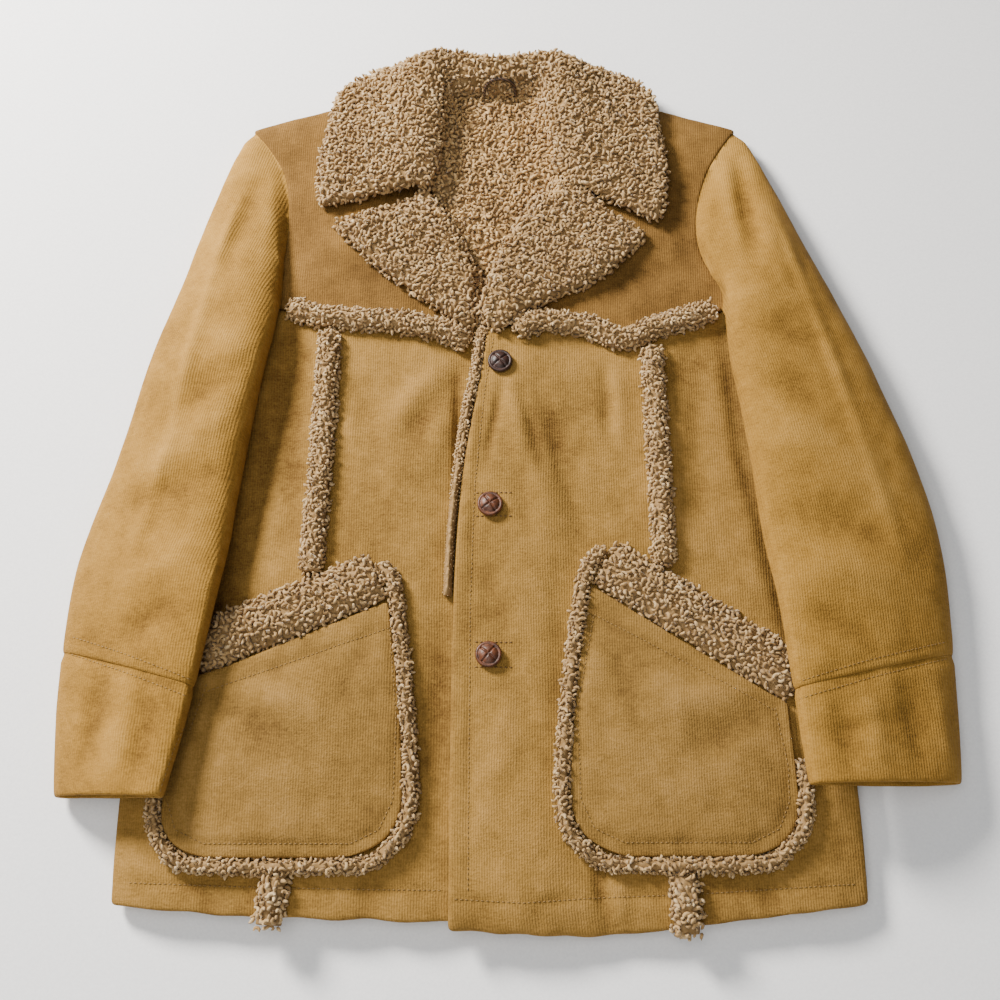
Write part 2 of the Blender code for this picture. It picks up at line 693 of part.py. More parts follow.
def make_pockets():
    """A patch with a pile cuff along its slanted mouth and a pile edge round its other sides."""
    for side, pocket in (("right", RIGHT_POCKET), ("left", LEFT_POCKET)):

        def place(across, length, pocket=pocket):
            x = mix(pocket.outer_low, pocket.inner_low, across)
            for _ in range(12):
                y = mix(pocket.low_y, pocket_mouth(pocket, x), length ** 1.3)
                x = mix(*pocket_sides(pocket, y), across)
            return x, y

        def outer(across, length, place=place):
            x, y = place(across, length)
            rim = smooth(0, 0.25, min(across, 1 - across)) * smooth(0, 0.2, min(length, 1 - length))
            return Vector((x, y, chest_top(x, y) + LAYER_GAP + POCKET_WALL + POCKET_PUFF * rim))

        def inner(across, length, place=place):
            x, y = place(across, length)
            return Vector((x, y, chest_top(x, y) + LAYER_GAP))

        wall(f"pocket_{side}", outer, inner, 9, 10)

        corner, slant, up = pocket_mouth_frame(pocket)
        middle = corner + up * (POCKET_CUFF_WIDTH / 2 + POCKET_CUFF_CLEAR)
        band = [middle - slant * pocket_mouth_length(pocket), middle - slant * 0.001]
        strip(f"pocket_cuff_{side}", band, POCKET_CUFF_WIDTH, POCKET_CUFF_HEIGHT, 9, fade=0.10)
        strip(f"pocket_edge_{side}", pocket_rim(pocket), POCKET_EDGE_WIDTH, 0.009, 30, columns=4, fade=0.02)


def make_trims():
    """Strips of pile over the yoke seams, the long seams and the lapped front's edge."""

    def on_yoke(rows, xs):
        return [(x, read(rows, "y", x)) for x in xs]

    right = on_yoke(RIGHT_YOKE, (-0.197, -0.165, -0.130, -0.095, -0.065, -0.043)) + [(-0.024, 0.1005)]
    strip("yoke_trim_right", right, 0.020, 0.011, 13)
    left = [(0.022, 0.108)] + on_yoke(LEFT_YOKE, (0.040, 0.065, 0.095, 0.122, 0.150, 0.180, 0.212))
    strip("yoke_trim_left", left, 0.020, 0.011, 16)
    for side, high, low, tail in (("right", 0.110, -0.129, -0.424), ("left", 0.092, -0.121, -0.431)):
        seam = [(read(LONG_SEAM, side, y), y) for y in (low, mix(low, high, 0.5), high)]
        strip(f"seam_trim_{side}", seam, 0.018, 0.011, 14)
        end = [(read(LONG_SEAM, side, y), y) for y in (tail, -0.406, -0.386)]
        strip(f"hem_tail_{side}", end, 0.021, 0.009, 6, fade=0.2)
    edge = [(read(FRONT_EDGE, "x", y) - 0.0054, y) for y in (-0.150, -0.080, 0.000, 0.040, 0.075, 0.114)]
    strip("front_edge_trim", edge, 0.008, 0.012, 16, columns=4, rest=right_top)


def make_buttons():
    """Domed leather buttons, turned, each on the lapped front with its shank through the buttonhole."""
    for name, (x, y) in BUTTONS.items():
        steps = 6
        angles = [math.pi / 2 * i / steps for i in range(steps + 1)]
        profile = [(BUTTON_RADIUS * math.sin(a), BUTTON_HEIGHT * math.cos(a)) for a in angles]
        bm = bmesh.new()
        rim = [bm.verts.new((r, 0, z * 0.6 + BUTTON_HEIGHT * 0.4)) for r, z in profile]
        rim.append(bm.verts.new((BUTTON_RADIUS * 0.92, 0, 0.0)))
        rim.append(bm.verts.new((0, 0, 0.0)))
        for a, b in zip(rim, rim[1:]):
            bm.edges.new((a, b))
        mesh = bpy.data.meshes.new(name)
        bm.to_mesh(mesh)
        bm.free()
        made = new_object(name, mesh, "button")
        lift = max(left_top(x + dx, y + dy) for dx in (-0.011, 0, 0.011) for dy in (-0.011, 0, 0.011))
        made.location = (x, y, lift + LAYER_GAP)
        turn = made.modifiers.new("turn", "SCREW")
        turn.steps = turn.render_steps = 16
        turn.use_merge_vertices = True
        turn.merge_threshold = 0.00001
        turn.use_smooth_shade = True


def make_hanger_loop():
    """A short cord sewn at both ends to the neck seam, lying up the collar's stand."""
    curve = bpy.data.curves.new("hanger_loop", "CURVE")
    curve.dimensions = "3D"
    curve.bevel_depth = LOOP_RADIUS
    curve.bevel_resolution = 2
    curve.use_fill_caps = True
    spline = curve.splines.new("POLY")
    spline.points.add(LOOP_STEPS)
    for i, point in enumerate(spline.points):
        angle = math.pi * i / LOOP_STEPS
        up = math.sin(angle) ** 0.6
        point.co = (0.006 - 0.016 * math.cos(angle), 0.3862 + 0.0084 * up, 0.0243 + 0.0165 * up, 1)
    new_object("hanger_loop", curve, "cord")


for old in list(bpy.data.objects):
    bpy.data.objects.remove(old)
jacket = bpy.data.collections.new("rancher_jacket")
bpy.context.scene.collection.children.link(jacket)
carrier = bpy.data.objects.new("jacket_carrier", None)
carrier.location = CENTRE
jacket.objects.link(carrier)

make_back()
make_neck_lining()
make_fronts()
make_sleeves()
make_collar()
make_lapels()
make_pockets()
make_trims()
make_buttons()
make_hanger_loop()
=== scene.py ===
import math
import random

import bmesh
import bpy
import numpy as np
from mathutils import Euler, Matrix, Vector, noise
from mathutils.bvhtree import BVHTree


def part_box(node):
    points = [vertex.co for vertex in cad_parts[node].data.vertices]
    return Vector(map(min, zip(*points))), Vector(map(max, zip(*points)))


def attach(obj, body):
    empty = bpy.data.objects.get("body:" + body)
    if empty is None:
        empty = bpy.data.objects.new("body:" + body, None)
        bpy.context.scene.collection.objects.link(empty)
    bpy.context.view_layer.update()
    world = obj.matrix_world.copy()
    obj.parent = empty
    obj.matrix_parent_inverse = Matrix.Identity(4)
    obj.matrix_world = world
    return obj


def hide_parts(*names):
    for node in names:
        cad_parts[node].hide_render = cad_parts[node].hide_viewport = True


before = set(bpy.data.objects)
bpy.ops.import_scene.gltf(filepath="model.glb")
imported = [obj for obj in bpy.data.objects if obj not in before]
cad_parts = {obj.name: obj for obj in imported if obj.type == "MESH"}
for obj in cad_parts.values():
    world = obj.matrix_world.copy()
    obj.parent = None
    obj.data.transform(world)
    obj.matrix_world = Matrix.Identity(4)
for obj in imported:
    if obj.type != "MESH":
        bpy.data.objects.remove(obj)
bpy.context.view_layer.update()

# Shell panels: pin-wale corduroy cut as a back, two yokes, two side fronts and two centre fronts.
# Each is sewn with its wadding and pile to one thick wall, so its edges are round, as turned seams are,
# and the cloth keeps the creases that wear and folding have put in it.


def linear(code):
    """A colour from its sRGB hex code."""
    parts = [int(code[i:i + 2], 16) / 255 for i in (1, 3, 5)]
    return [p / 12.92 if p <= 0.04045 else ((p + 0.055) / 1.055) ** 2.4 for p in parts] + [1.0]


def put(tree, kind, sockets=None, **settings):
    """Adds a node. sockets gives its inputs a value, or another node's output."""
    node = tree.nodes.new("ShaderNode" + kind)
    for name, value in settings.items():
        setattr(node, name, value)
    for name, value in (sockets or {}).items():
        if isinstance(value, bpy.types.NodeSocket):
            tree.links.new(value, node.inputs[name])
        else:
            node.inputs[name].default_value = value
    return node


def new_finish(name):
    """A new node material, with its tree, its shader and the place on the piece."""
    material = bpy.data.materials.new(name)
    material.use_nodes = True
    tree = material.node_tree
    return material, tree, tree.nodes["Principled BSDF"], put(tree, "TexCoord").outputs["Object"]


def colour_stops(ramp, stops):
    """Sets a ramp's colours from pairs of place and hex code."""
    elements = ramp.color_ramp.elements
    while len(elements) < len(stops):
        elements.new(0.5)
    for element, (place, code) in zip(elements, stops):
        element.position = place
        element.color = linear(code)


WALE_PITCH = 0.0022


def corduroy(name, dark, middle, light):
    """Pin-wale cotton corduroy: cut pile in fine ribs, dull, paler on ridges and darker in creases, partly as
    rubbed wear and partly as painted light and shade.

    A real wale is about 1.7 mm. It is drawn at 2.2 mm so that it shows at this distance. The nap's grain is
    about 1.5 mm, rubbed patches are 18 mm, blotches 110 mm, and streaks 8 by 1.6 mm.
    """
    material, tree, shader, place = new_finish(name)
    wale = put(tree, "Attribute", attribute_name="wale").outputs["Fac"]
    fold_wear_and_shade = put(tree, "Attribute", attribute_name="fold_wear_and_shade").outputs["Fac"]
    wander = put(tree, "TexNoise", {"Vector": place, "Scale": 45.0, "Detail": 1.0}).outputs["Fac"]
    blotch = put(
        tree, "TexNoise", {"Vector": place, "Scale": 9.0, "Detail": 4.0, "Roughness": 0.6}
    ).outputs["Fac"]
    rub = put(
        tree, "TexNoise", {"Vector": place, "Scale": 55.0, "Detail": 4.0, "Roughness": 0.75}
    ).outputs["Fac"]
    nap = put(tree, "TexNoise", {"Vector": place, "Scale": 650.0, "Detail": 1.0}).outputs["Fac"]
    across = put(tree, "Mapping", {"Vector": place, "Scale": (130.0, 620.0, 130.0)}).outputs["Vector"]
    streak = put(tree, "TexNoise", {"Vector": across, "Scale": 1.0, "Detail": 2.0}).outputs["Fac"]
    turn = put(tree, "Math", {0: wale, 1: 2 * math.pi / WALE_PITCH}, operation="MULTIPLY").outputs[0]
    turn = put(tree, "Math", {0: wander, 1: 3.0, 2: turn}, operation="MULTIPLY_ADD").outputs[0]
    rib = put(tree, "Math", {0: turn}, operation="SINE").outputs[0]
    worn_rib = put(tree, "Math", {0: rib, 1: blotch}, operation="MULTIPLY").outputs[0]
    tone = -0.61
    # The fold height lightens ridges and darkens creases: partly rubbed wear, partly painted light and shade on
    # the folds.
    for part, share in (
        (blotch, 0.66), (rub, 0.66), (streak, 0.42), (nap, 0.50), (worn_rib, 0.08), (fold_wear_and_shade, 0.26)
    ):
        tone = put(tree, "Math", {0: part, 1: share, 2: tone}, operation="MULTIPLY_ADD").outputs[0]
    ramp = put(tree, "ValToRGB", {"Fac": tone})
    colour_stops(ramp, [(0.0, dark), (0.5, middle), (1.0, light)])
    height = put(tree, "Math", {0: nap, 1: 4.8, 2: rib}, operation="MULTIPLY_ADD").outputs[0]
    bump = put(tree, "Bump", {"Height": height, "Strength": 0.42, "Distance": 0.00025})
    tree.links.new(ramp.outputs["Color"], shader.inputs["Base Color"])
    tree.links.new(bump.outputs["Normal"], shader.inputs["Normal"])
    shader.inputs["Roughness"].default_value = 0.92
    shader.inputs["Specular IOR Level"].default_value = 0.12
    shader.inputs["Sheen Weight"].default_value = 0.05
    shader.inputs["Sheen Roughness"].default_value = 0.45
    shader.inputs["Sheen Tint"].default_value = linear("#E3C08A")
    return material


WELD = 0.00002
FLAT_ANGLE, SKEW_ANGLE = 0.7, 1.6
OUTLINE_ANGLE = 0.8


def soften(node, edge, levels):
    """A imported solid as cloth: subdivided, with its outline held by creased edges that still round off."""
    bm = bmesh.new()
    bm.from_mesh(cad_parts[node].data)
    bmesh.ops.remove_doubles(bm, verts=bm.verts[:], dist=WELD)
    bmesh.ops.join_triangles(
        bm, faces=bm.faces[:], angle_face_threshold=FLAT_ANGLE, angle_shape_threshold=SKEW_ANGLE
    )
    crease = bm.edges.layers.float.new("crease_edge")
    for e in bm.edges:
        if len(e.link_faces) == 2 and e.calc_face_angle(0.0) > OUTLINE_ANGLE:
            e[crease] = edge
    rough = bpy.data.meshes.new(node + "_rough")
    bm.to_mesh(rough)
    bm.free()
    draft = bpy.data.objects.new(node + "_draft", rough)
    bpy.context.scene.collection.objects.link(draft)
    fine = draft.modifiers.new("soften", "SUBSURF")
    fine.levels = fine.render_levels = levels
    ready = draft.evaluated_get(bpy.context.evaluated_depsgraph_get())
    mesh = bpy.data.meshes.new_from_object(ready)
    bpy.data.objects.remove(draft)
    bpy.data.meshes.remove(rough)
    mesh.materials.clear()
    mesh.shade_smooth()
    return mesh


def vertex_array(mesh, what):
    """The places or the normals of a mesh's vertices, one row each."""
    values = np.empty(len(mesh.vertices) * 3, dtype=np.float32)
    mesh.vertices.foreach_get(what, values)
    return values.reshape(-1, 3)


def crease_height(creases, x, y):
    """Height of soft ridges and grooves along lines: x0, y0, x1, y1, width, height."""
    total = np.zeros_like(x)
    for x0, y0, x1, y1, width, height in creases:
        dx, dy = x1 - x0, y1 - y0
        t = np.clip(((x - x0) * dx + (y - y0) * dy) / (dx * dx + dy * dy), 0, 1)
        away = np.hypot(x - x0 - t * dx, y - y0 - t * dy) / width
        total += height * np.sin(math.pi * (0.1 + 0.8 * t)) * np.exp(-away * away)
    return total


def rumple(points, scale, height, seed):
    """Small irregular waves of the cloth."""
    shift = Vector((seed * 3.1, seed * 1.7, 0.0))
    return height * np.array([noise.noise(Vector(p) * scale + shift) for p in points], dtype=np.float32)


# Ridges and grooves of the worn fronts: x0, y0, x1, y1, width, height, in metres.
FRONT_CREASES = [
    (-0.048, 0.067, -0.100, -0.009, 0.012, -0.0030),
    (-0.060, 0.080, -0.118, 0.012, 0.012, 0.0022),
    (-0.0475, 0.066, -0.0445, -0.055, 0.0055, -0.0055),
    (-0.066, 0.060, -0.068, -0.030, 0.010, 0.0018),
    (-0.006, 0.055, -0.021, -0.025, 0.005, -0.0030),
    (0.011, 0.050, 0.034, -0.040, 0.006, -0.0026),
    (0.002, 0.045, 0.010, -0.040, 0.009, 0.0024),
    (0.026, 0.060, 0.066, -0.100, 0.011, -0.0026),
    (0.000, 0.020, 0.022, -0.110, 0.010, -0.0022),
    (0.091, 0.075, 0.093, 0.000, 0.007, -0.0026),
    (0.104, 0.080, 0.104, -0.010, 0.008, 0.0018),
    (-0.140, 0.080, -0.120, -0.060, 0.013, -0.0016),
    (-0.194, 0.060, -0.200, -0.114, 0.012, -0.0024),
    (0.176, 0.090, 0.172, -0.080, 0.012, -0.0022),
    (-0.020, -0.120, 0.010, -0.250, 0.014, -0.0020),
    (0.000, -0.230, -0.025, -0.360, 0.014, 0.0020),
    (-0.060, -0.160, -0.062, -0.330, 0.012, -0.0022),
    (0.045, -0.140, 0.040, -0.300, 0.011, -0.0018),
    (0.070, -0.365, 0.079, -0.424, 0.006, -0.0034),
    (0.087, -0.380, 0.092, -0.424, 0.008, 0.0022),
    (-0.120, -0.395, -0.110, -0.424, 0.010, -0.0022),
    (-0.250, -0.395, -0.240, -0.418, 0.010, -0.0020),
    (0.210, -0.390, 0.215, -0.418, 0.010, -0.0022),
    (-0.120, 0.280, -0.190, 0.180, 0.018, 0.0016),
    (-0.100, 0.160, -0.190, 0.200, 0.014, -0.0022),
    (0.080, 0.150, 0.175, 0.190, 0.014, -0.0022),
    (0.160, 0.330, 0.175, 0.200, 0.014, -0.0018),
    # The last four are grooves along the sleeves' inner edges, also painted darker through the fold height, as
    # shade beside the sleeves.
    (0.207, 0.110, 0.222, -0.044, 0.010, -0.0050),
    (0.220, -0.020, 0.250, -0.200, 0.010, -0.0050),
    (-0.205, 0.130, -0.217, 0.006, 0.016, -0.0055),
    (-0.214, 0.040, -0.258, -0.180, 0.016, -0.0055),
]

# Where a line of topstitching pulls the cloth in, as short straight runs.
HEM_SEWING = [
    [(-0.312, -0.391), (-0.230, -0.394), (-0.1415, -0.396), (-0.055, -0.397)],
    [(-0.045, -0.404), (0.010, -0.407), (0.0675, -0.403), (0.1515, -0.400), (0.284, -0.392)],
]
PLACKET_SEWING = [[(-0.034, -0.398), (-0.034, -0.160), (-0.031, -0.050), (-0.022, 0.050), (-0.014, 0.104)]]
SEWN_WIDTH = 0.004
SEWN_DEPTH = 0.0010


def sewn_grooves(lines, depth=SEWN_DEPTH):
    """The grooves that lines of stitches press into the cloth."""
    return [(*start, *end, SEWN_WIDTH, -depth) for line in lines for start, end in zip(line, line[1:])]


def front_lay(points):
    """How far the worn cloth of the fronts, and all that lies on it, is lifted or pressed down."""
    return crease_height(FRONT_CREASES, points[:, 0], points[:, 1])


cloth_trees = []
piece_trees = {}
SEAM = 0.0002
SEAM_BLEND = 0.4


def close_seam(points, names, reach, half_width=1.0):
    """Draws a piece's edge over the gap to the neighbours it is sewn to, up to half_width from the middle."""
    for name in names:
        for i, p in enumerate(points):
            if abs(p[0]) > half_width:
                continue
            spot, _, _, away = piece_trees[name].find_nearest(Vector(p), reach)
            if spot is not None and away > SEAM:
                share = min((reach - away) / (reach * SEAM_BLEND), 1.0) * (away - SEAM) / away
                points[i] += (np.array(spot, dtype=np.float32) - p) * share


def add_piece(name, mesh, material):
    """A finished piece of the jacket."""
    mesh.materials.append(material)
    piece = bpy.data.objects.new(name, mesh)
    bpy.context.scene.collection.objects.link(piece)
    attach(piece, "root")
    return piece


def dress(node, mesh, name, material):
    """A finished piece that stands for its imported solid."""
    piece = add_piece(name, mesh, material)
    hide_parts(node)
    return piece


# Waves of the cloth: how many to the metre, and how high. Those of the hem die out over its depth.
BROAD_WAVES = (26, 0.0013)
FINE_WAVES = (70, 0.0006)
HEM_WAVES = (34, 0.0030)
HEM_TOP, HEM_DEPTH = -0.395, 0.03
FULL_RELIEF = 0.003


def cloth_piece(
    node, name, material, levels, creases, wale, seed, edge=0.36, lift=None, meets=(),
    reach=0.007,
):
    """A corduroy piece: softened and creased on its upper side, its wales and creases kept for the material,
    which paints ridges paler and creases darker as wear, light and shade.
    """
    mesh = soften(node, edge, levels)
    points = vertex_array(mesh, "co")
    facing = np.clip((vertex_array(mesh, "normal")[:, 2] + 0.1) / 0.6, 0, 1)
    height = crease_height(creases, points[:, 0], points[:, 1])
    height += rumple(points, *BROAD_WAVES, seed) + rumple(points, *FINE_WAVES, seed + 5)
    if lift is not None:
        height += lift(points)
    points[:, 2] = np.maximum(points[:, 2] + height * facing, 0.0)
    if node.startswith(("side_front", "centre_front")):
        along_hem = np.clip((HEM_TOP - points[:, 1]) / HEM_DEPTH, 0, 1)
        points[:, 1] += rumple(points * [1, 0, 0], *HEM_WAVES, seed) * along_hem
    close_seam(points, meets, reach)
    mesh.vertices.foreach_set("co", points.ravel())
    # Fold height kept for the colour: partly wear, partly painted light and shade on the folds.
    fold_wear_and_shade = np.clip(height * facing / FULL_RELIEF, -1, 1)
    for kept, values in (("wale", wale(points)), ("fold_wear_and_shade", fold_wear_and_shade)):
        attribute = mesh.attributes.new(kept, "FLOAT", "POINT")
        attribute.data.foreach_set("value", values.astype(np.float32))
    mesh.update()
    piece_trees[name] = BVHTree.FromPolygons(points.tolist(), [p.vertices[:] for p in mesh.polygons])
    if name != "back_panel":
        cloth_trees.append(piece_trees[name])
    piece = dress(node, mesh, name, material)


def straight_wale(points):
    """The wales of the body run from hem to shoulder, and down the rolled sides."""
    return points[:, 0] + points[:, 2] * 0.4


shell = corduroy("shell_corduroy", "#523716", "#896832", "#A98247")
# The yokes get a darker copy of the corduroy: painted shade of the sleeve heads and the collar.
shaded_yoke_cloth = corduroy("yoke_corduroy_painted_shade", "#452F12", "#6F5127", "#8F6B37")
under_shell = corduroy("back_corduroy", "#4F3716", "#80612E", "#9D7942")
cloth_piece("back", "back_panel", under_shell, 1, [], straight_wale, 1, edge=0.5)
for side, turn in (("right", 0), ("left", 10)):
    sewn = sewn_grooves(HEM_SEWING)
    if side == "left":
        sewn = sewn + sewn_grooves(PLACKET_SEWING)
    for node, cloth, creases, seed, cut in (
        ("yoke_", shaded_yoke_cloth, FRONT_CREASES, 2, (0.28, 0.31, 0.050)),
        ("side_front_", shell, FRONT_CREASES + sewn, 3, (0.17, 0.58, 0.083)),
        ("centre_front_", shell, FRONT_CREASES + sewn, 4, (0.21, 0.56, 0.104)),
    ):
        panel = node + side + "_panel"
        cloth_piece(node + side, panel, cloth, 3, creases, straight_wale, seed + turn)

# Sleeves and cuffs: the same corduroy, each sewn to a tube and flattened by its own weight.
# The wales run along the arm. A lengthwise seam stands up a little near the outer edge, and each cuff is
# a separate band sewn on with two rows of stitches.
RIGHT_AXIS = [(-0.329, -0.330), (-0.328, -0.270), (-0.325, -0.215), (-0.316, -0.128), (-0.302, -0.056),
              (-0.287, 0.022), (-0.275, 0.087), (-0.261, 0.149), (-0.240, 0.245), (-0.228, 0.330)]
LEFT_AXIS = [(0.312, -0.320), (0.312, -0.268), (0.311, -0.217), (0.309, -0.128), (0.300, -0.056),
             (0.285, 0.017), (0.268, 0.084), (0.249, 0.143), (0.226, 0.230), (0.216, 0.330)]
RIGHT_SLEEVE_CREASES = [
    (-0.263, 0.263, -0.283, 0.161, 0.007, 0.0030),
    (-0.283, 0.161, -0.302, 0.010, 0.007, 0.0028),
    (-0.302, 0.010, -0.330, -0.120, 0.008, 0.0020),
    (-0.252, 0.280, -0.270, 0.165, 0.010, -0.0030),
    (-0.235, 0.290, -0.232, 0.190, 0.010, 0.0026),
    (-0.225, 0.275, -0.222, 0.200, 0.008, -0.0030),
    (-0.250, 0.060, -0.300, 0.020, 0.016, -0.0030),
    (-0.245, 0.020, -0.320, -0.030, 0.016, 0.0026),
    (-0.250, -0.040, -0.340, -0.070, 0.016, -0.0028),
    (-0.262, -0.110, -0.350, -0.150, 0.016, 0.0022),
    (-0.270, -0.160, -0.330, -0.190, 0.014, -0.0026),
    (-0.290, 0.110, -0.240, 0.070, 0.016, 0.0024),
]
LEFT_SLEEVE_CREASES = [
    (0.259, 0.250, 0.287, 0.133, 0.007, 0.0030),
    (0.287, 0.133, 0.318, 0.000, 0.007, 0.0028),
    (0.318, 0.000, 0.345, -0.120, 0.008, 0.0018),
    (0.233, 0.314, 0.236, 0.183, 0.009, -0.0042),
    (0.220, 0.300, 0.222, 0.195, 0.009, 0.0028),
    (0.246, 0.270, 0.262, 0.160, 0.010, 0.0020),
    (0.235, 0.060, 0.300, 0.020, 0.016, -0.0028),
    (0.240, 0.010, 0.330, -0.050, 0.018, 0.0026),
    (0.240, -0.070, 0.350, -0.110, 0.016, -0.0030),
    (0.260, -0.120, 0.350, -0.150, 0.014, 0.0022),
    (0.250, -0.170, 0.310, -0.195, 0.012, -0.0028),
    (0.245, 0.110, 0.300, 0.080, 0.016, -0.0022),
]
CUFF_CREASES = [
    (-0.345, -0.215, -0.352, -0.310, 0.010, -0.0028),
    (-0.300, -0.240, -0.305, -0.318, 0.010, -0.0026),
    (-0.320, -0.225, -0.328, -0.315, 0.010, 0.0022),
    (-0.365, -0.240, -0.310, -0.262, 0.008, -0.0018),
    (0.275, -0.245, 0.278, -0.310, 0.010, -0.0026),
    (0.300, -0.240, 0.304, -0.305, 0.010, 0.0022),
    (0.335, -0.225, 0.340, -0.300, 0.011, -0.0028),
    (0.365, -0.220, 0.366, -0.300, 0.010, 0.0020),
    (0.260, -0.275, 0.330, -0.262, 0.008, -0.0018),
]
CUFF_SEWING = [
    [(-0.379, -0.188), (-0.330, -0.206), (-0.266, -0.231)],
    [(-0.379, -0.203), (-0.330, -0.221), (-0.268, -0.245)],
    [(0.240, -0.233), (0.300, -0.214), (0.379, -0.192)],
    [(0.241, -0.247), (0.300, -0.229), (0.380, -0.206)],
]


def sleeve_wale(axis):
    """Distance across the arm from its middle line."""
    ys = [p[1] for p in axis]
    xs = [p[0] for p in axis]

    def across(points):
        return (points[:, 0] - np.interp(points[:, 1], ys, xs)) * 0.96 + points[:, 2] * 0.3

    return across


SHOULDER_TIPS = [(-0.262, 0.335), (0.234, 0.335)]
PUFF_HEIGHT = 0.008
PUFF_WIDTH = 0.040


def shoulder_puff(points):
    """The sleeve head is eased into the armhole, so it stands up at the shoulder."""
    away = [np.hypot(points[:, 0] - x, points[:, 1] - y) / PUFF_WIDTH for x, y in SHOULDER_TIPS]
    return PUFF_HEIGHT * np.exp(-np.minimum(*away) ** 2)


sleeve_cloth = corduroy("sleeve_corduroy", "#5A3F18", "#8E692C", "#A9813F")
for side, axis, creases, turn, cut, cuff_cut in (
    ("right", RIGHT_AXIS, RIGHT_SLEEVE_CREASES, 20, (0.34, 0.60, 0.130), (0.29, 0.105, 0.0285)),
    ("left", LEFT_AXIS, LEFT_SLEEVE_CREASES, 30, (0.37, 0.60, 0.152), (0.31, 0.105, 0.0305)),
):
    sewn = sewn_grooves(CUFF_SEWING)
    wale = sleeve_wale(axis)
    tube = "sleeve_" + side + "_tube"
    cloth_piece(
        "sleeve_" + side, tube, sleeve_cloth, 3, creases + sewn, wale, turn,
        lift=shoulder_puff, meets=("yoke_" + side + "_panel",), reach=0.014,
    )
    band = "cuff_" + side + "_band"
    cloth_piece(
        "cuff_" + side, band, sleeve_cloth, 3, CUFF_CREASES + sewn, wale, turn + 3,
        meets=(tube,),
    )

# Pockets: patches of the same corduroy with the nap laid the other way, so they look paler.
# Each is sewn down along its sides and bottom with a row of stitches set in from the edge.
POCKET_SEWING = [
    [(-0.259, -0.229), (-0.276, -0.290), (-0.284, -0.328), (-0.275, -0.350), (-0.251, -0.361),
     (-0.131, -0.361), (-0.108, -0.350), (-0.097, -0.326), (-0.096, -0.260), (-0.104, -0.180),
     (-0.259, -0.236)],
    [(0.226, -0.249), (0.233, -0.300), (0.232, -0.327), (0.222, -0.349), (0.198, -0.360), (0.094, -0.360),
     (0.070, -0.349), (0.059, -0.326), (0.058, -0.250), (0.074, -0.168), (0.226, -0.252)],
]
POCKET_CREASES = [
    (-0.250, -0.240, -0.180, -0.290, 0.014, -0.0026),
    (-0.230, -0.230, -0.150, -0.260, 0.014, 0.0020),
    (-0.120, -0.185, -0.150, -0.260, 0.013, -0.0022),
    (-0.190, -0.300, -0.180, -0.350, 0.014, 0.0014),
    (0.215, -0.250, 0.150, -0.290, 0.014, -0.0026),
    (0.190, -0.235, 0.120, -0.250, 0.014, 0.0020),
    (0.085, -0.170, 0.110, -0.260, 0.013, -0.0024),
    (0.150, -0.300, 0.160, -0.350, 0.014, 0.0014),
]
pocket_cloth = corduroy("pocket_corduroy", "#4E3718", "#816230", "#9E7B46")
for side, turn, cut in (("right", 40, (0.20, 0.22, 0.0345)), ("left", 45, (0.19, 0.23, 0.033))):
    sewn = sewn_grooves(POCKET_SEWING, 0.0011)
    cloth_piece(
        "pocket_" + side, "pocket_" + side + "_patch", pocket_cloth, 3, POCKET_CREASES + sewn, straight_wale,
        turn, edge=0.40, lift=front_lay,
    )

# Pile: mock shearling, a knitted ground with curly tufts, for the collar, lapels, neck lining and trims.
# The ground is painted darker at the edges of its knit cells, as shade in its gaps. Each tuft is a short curl of
# yarn, painted paler at its tip and darker at its root, as light and shade in the pile.
# The pieces are sewn on over the seams, and tufts of neighbours close the corners where they meet.
CURL_YARN = 0.0016
CURL_SPACING = 0.0034
TRIM_SPACING = 0.0030
CURL_STEPS = 5
CURL_ENDS = 0.45


def pile_ground(name, code):
    """The knitted ground: matt, its colour painted darker at the edges of its cells, as shade in its gaps."""
    material, tree, shader, place = new_finish(name)
    cells = put(tree, "TexVoronoi", {"Vector": place, "Scale": 230.0}, feature="SMOOTH_F1")
    # Painted shade: the colour darkens away from each cell's middle, into the gaps of the knit.
    ramp = put(tree, "ValToRGB", {"Fac": cells.outputs["Distance"]})
    colour_stops(ramp, [(0.1, code), (0.75, "#7A5F3A")])
    knit = {"Height": cells.outputs["Distance"], "Strength": 0.8, "Distance": 0.002}
    bump = put(tree, "Bump", knit, invert=True)
    tree.links.new(ramp.outputs["Color"], shader.inputs["Base Color"])
    tree.links.new(bump.outputs["Normal"], shader.inputs["Normal"])
    shader.inputs["Roughness"].default_value = 0.95
    shader.inputs["Specular IOR Level"].default_value = 0.1
    return material


def curl_yarn(name, root, middle, tip):
    """Acrylic yarn of the tufts: soft, slightly shining, each tuft its own shade."""
    material, tree, shader, place = new_finish(name)
    shade = put(tree, "Attribute", attribute_name="shade").outputs["Fac"]
    fibre = put(tree, "TexNoise", {"Vector": place, "Scale": 1500.0, "Detail": 1.0}).outputs["Fac"]
    patch = put(tree, "TexNoise", {"Vector": place, "Scale": 30.0, "Detail": 1.0}).outputs["Fac"]
    tone = shade
    for part in (fibre, patch):
        tone = put(tree, "Math", {0: part, 1: 0.35, 2: tone}, operation="MULTIPLY_ADD").outputs[0]
    tone = put(tree, "Math", {0: tone, 1: -0.35}, operation="ADD").outputs[0]
    ramp = put(tree, "ValToRGB", {"Fac": tone})
    colour_stops(ramp, [(0.0, root), (0.5, middle), (1.0, tip)])
    bump = put(tree, "Bump", {"Height": fibre, "Strength": 0.5, "Distance": 0.0004})
    tree.links.new(ramp.outputs["Color"], shader.inputs["Base Color"])
    tree.links.new(bump.outputs["Normal"], shader.inputs["Normal"])
    shader.inputs["Roughness"].default_value = 0.75
    shader.inputs["Specular IOR Level"].default_value = 0.25
    shader.inputs["Sheen Weight"].default_value = 0.25
    shader.inputs["Sheen Roughness"].default_value = 0.5
    return material


